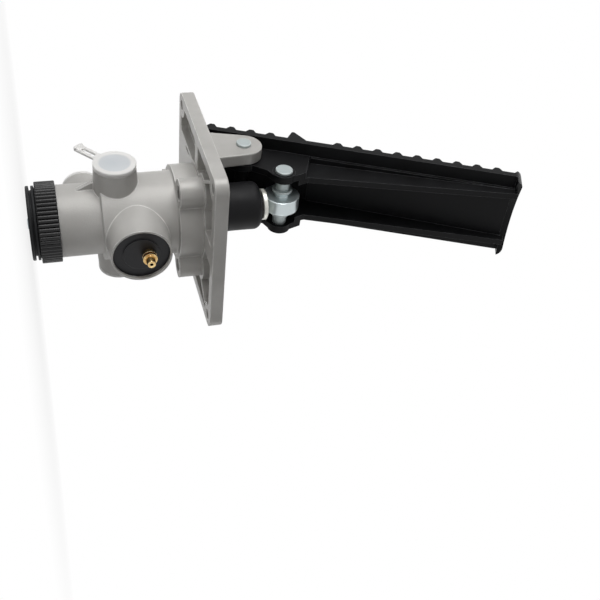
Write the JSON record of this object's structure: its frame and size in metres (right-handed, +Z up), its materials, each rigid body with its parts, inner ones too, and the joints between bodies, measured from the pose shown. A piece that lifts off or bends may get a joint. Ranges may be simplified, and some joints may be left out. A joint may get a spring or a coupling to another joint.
{
  "type": "air brake valve",
  "caption": "Foot-operated dual-circuit air brake valve: ribbed treadle on a square mounting plate, with a cast valve body, capped ports and an exhaust silencer below.",
  "frame": {"origin": "on the valve's axis, in the plane of the mounting plate's underside", "axes": "+Z up the valve's axis towards the treadle, X along the hinge pin, the tread faces -Y"},
  "size_m": [0.148, 0.1496, 0.4203],
  "materials": {
    "body_casting": "bead-blasted cast aluminium, satin",
    "plate_casting": "cast aluminium, smoother than the body",
    "treadle_paint": "black satin paint, worn bright on its edges",
    "zinc_steel": "bright bluish zinc",
    "roller_steel": "turned steel, bright",
    "disc_zinc": "creamy zinc",
    "plunger_steel": "turned steel",
    "screw_steel": "dark steel",
    "spring_steel": "oiled spring wire",
    "boot_rubber": "matt black moulded rubber",
    "seal_rubber": "black rubber",
    "flap_rubber": "matt charcoal rubber",
    "silencer_plastic": "black satin fluted plastic",
    "washer_zinc": "light bluish zinc",
    "felt": "grey felt",
    "plug_plastic": "charcoal plastic",
    "nipple_brass": "turned brass",
    "cap_plastic": "milky translucent polyethylene",
    "guide_plastic": "black moulded plastic",
    "valve_plastic": "plastic with a rubber face",
    "piston_aluminium": "turned aluminium"
  },
  "bodies": {
    "root": {"valve_body": "body_casting", "flange_seal": "seal_rubber", "mounting_plate": "plate_casting", "flange_screws": "screw_steel", "hinge_pin": "zinc_steel", "hinge_pin_cap": "zinc_steel", "plunger_guide": "guide_plastic", "dust_boot": "boot_rubber", "graduating_spring": "spring_steel", "upper_piston_spring": "spring_steel", "upper_valve_spring": "spring_steel", "relay_piston_spring": "spring_steel", "lower_valve_spring": "spring_steel", "upper_valve_guide": "guide_plastic", "lower_seat_carrier": "piston_aluminium", "lower_valve_guide": "guide_plastic", "snap_ring": "spring_steel", "silencer_housing": "silencer_plastic", "silencer_felt": "felt", "exhaust_flap": "flap_rubber", "flap_washer": "washer_zinc", "flap_rivet": "washer_zinc", "rear_plug": "plug_plastic", "brass_nipple": "nipple_brass", "transit_cap_right": "cap_plastic", "transit_cap_left": "cap_plastic", "transit_cap_front": "cap_plastic"},
    "pedal": {"pedal": "treadle_paint", "roller_pin": "zinc_steel", "roller_pin_cap": "zinc_steel", "roller_washers": "zinc_steel", "roller_sleeves": "zinc_steel"},
    "roller": {"roller": "roller_steel"},
    "plunger": {"plunger": "plunger_steel", "plunger_disc": "disc_zinc"},
    "upper_piston": {"upper_piston": "piston_aluminium", "upper_piston_seal": "seal_rubber"},
    "upper_valve": {"upper_valve": "valve_plastic"},
    "relay_piston": {"relay_piston": "piston_aluminium", "relay_piston_seal": "seal_rubber"},
    "lower_valve": {"lower_valve": "valve_plastic"}
  },
  "joints": [
    {"name": "pedal_hinge", "type": "hinge", "parent": "root", "child": "pedal", "pos_m": [0, -0.034, 0.0485], "axis": [-1, 0, 0], "range_deg": [0, 16], "stiffness_Nm_per_rad": 20, "springref_deg": -3.44},
    {"name": "roller_spin", "type": "hinge", "parent": "pedal", "child": "roller", "pos_m": [0, -0.004, 0.0776], "axis": [1, 0, 0], "continuous": true},
    {"name": "plunger_slide", "type": "slide", "parent": "root", "child": "plunger", "axis": [0, 0, -1], "range_m": [0, 0.0094], "deforming": ["dust_boot", "graduating_spring"]},
    {"name": "upper_piston_slide", "type": "slide", "parent": "root", "child": "upper_piston", "axis": [0, 0, -1], "range_m": [0, 0.003], "deforming": ["upper_piston_spring"]},
    {"name": "upper_valve_slide", "type": "slide", "parent": "root", "child": "upper_valve", "axis": [0, 0, -1], "range_m": [0, 0.0016], "deforming": ["upper_valve_spring"]},
    {"name": "relay_piston_slide", "type": "slide", "parent": "root", "child": "relay_piston", "axis": [0, 0, -1], "range_m": [0, 0.0025], "deforming": ["relay_piston_spring"]},
    {"name": "lower_valve_slide", "type": "slide", "parent": "root", "child": "lower_valve", "axis": [0, 0, -1], "range_m": [0, 0.0014], "deforming": ["lower_valve_spring"]}
  ],
  "couplings": [
    {"joint": "plunger_slide", "follows": "pedal_hinge", "m_per_rad": 0.033661},
    {"joint": "upper_piston_slide", "follows": "pedal_hinge", "m_per_rad": 0.010742},
    {"joint": "upper_valve_slide", "follows": "pedal_hinge", "m_per_rad": 0.005729},
    {"joint": "relay_piston_slide", "follows": "pedal_hinge", "m_per_rad": 0.008952},
    {"joint": "lower_valve_slide", "follows": "pedal_hinge", "m_per_rad": 0.005013}
  ]
}
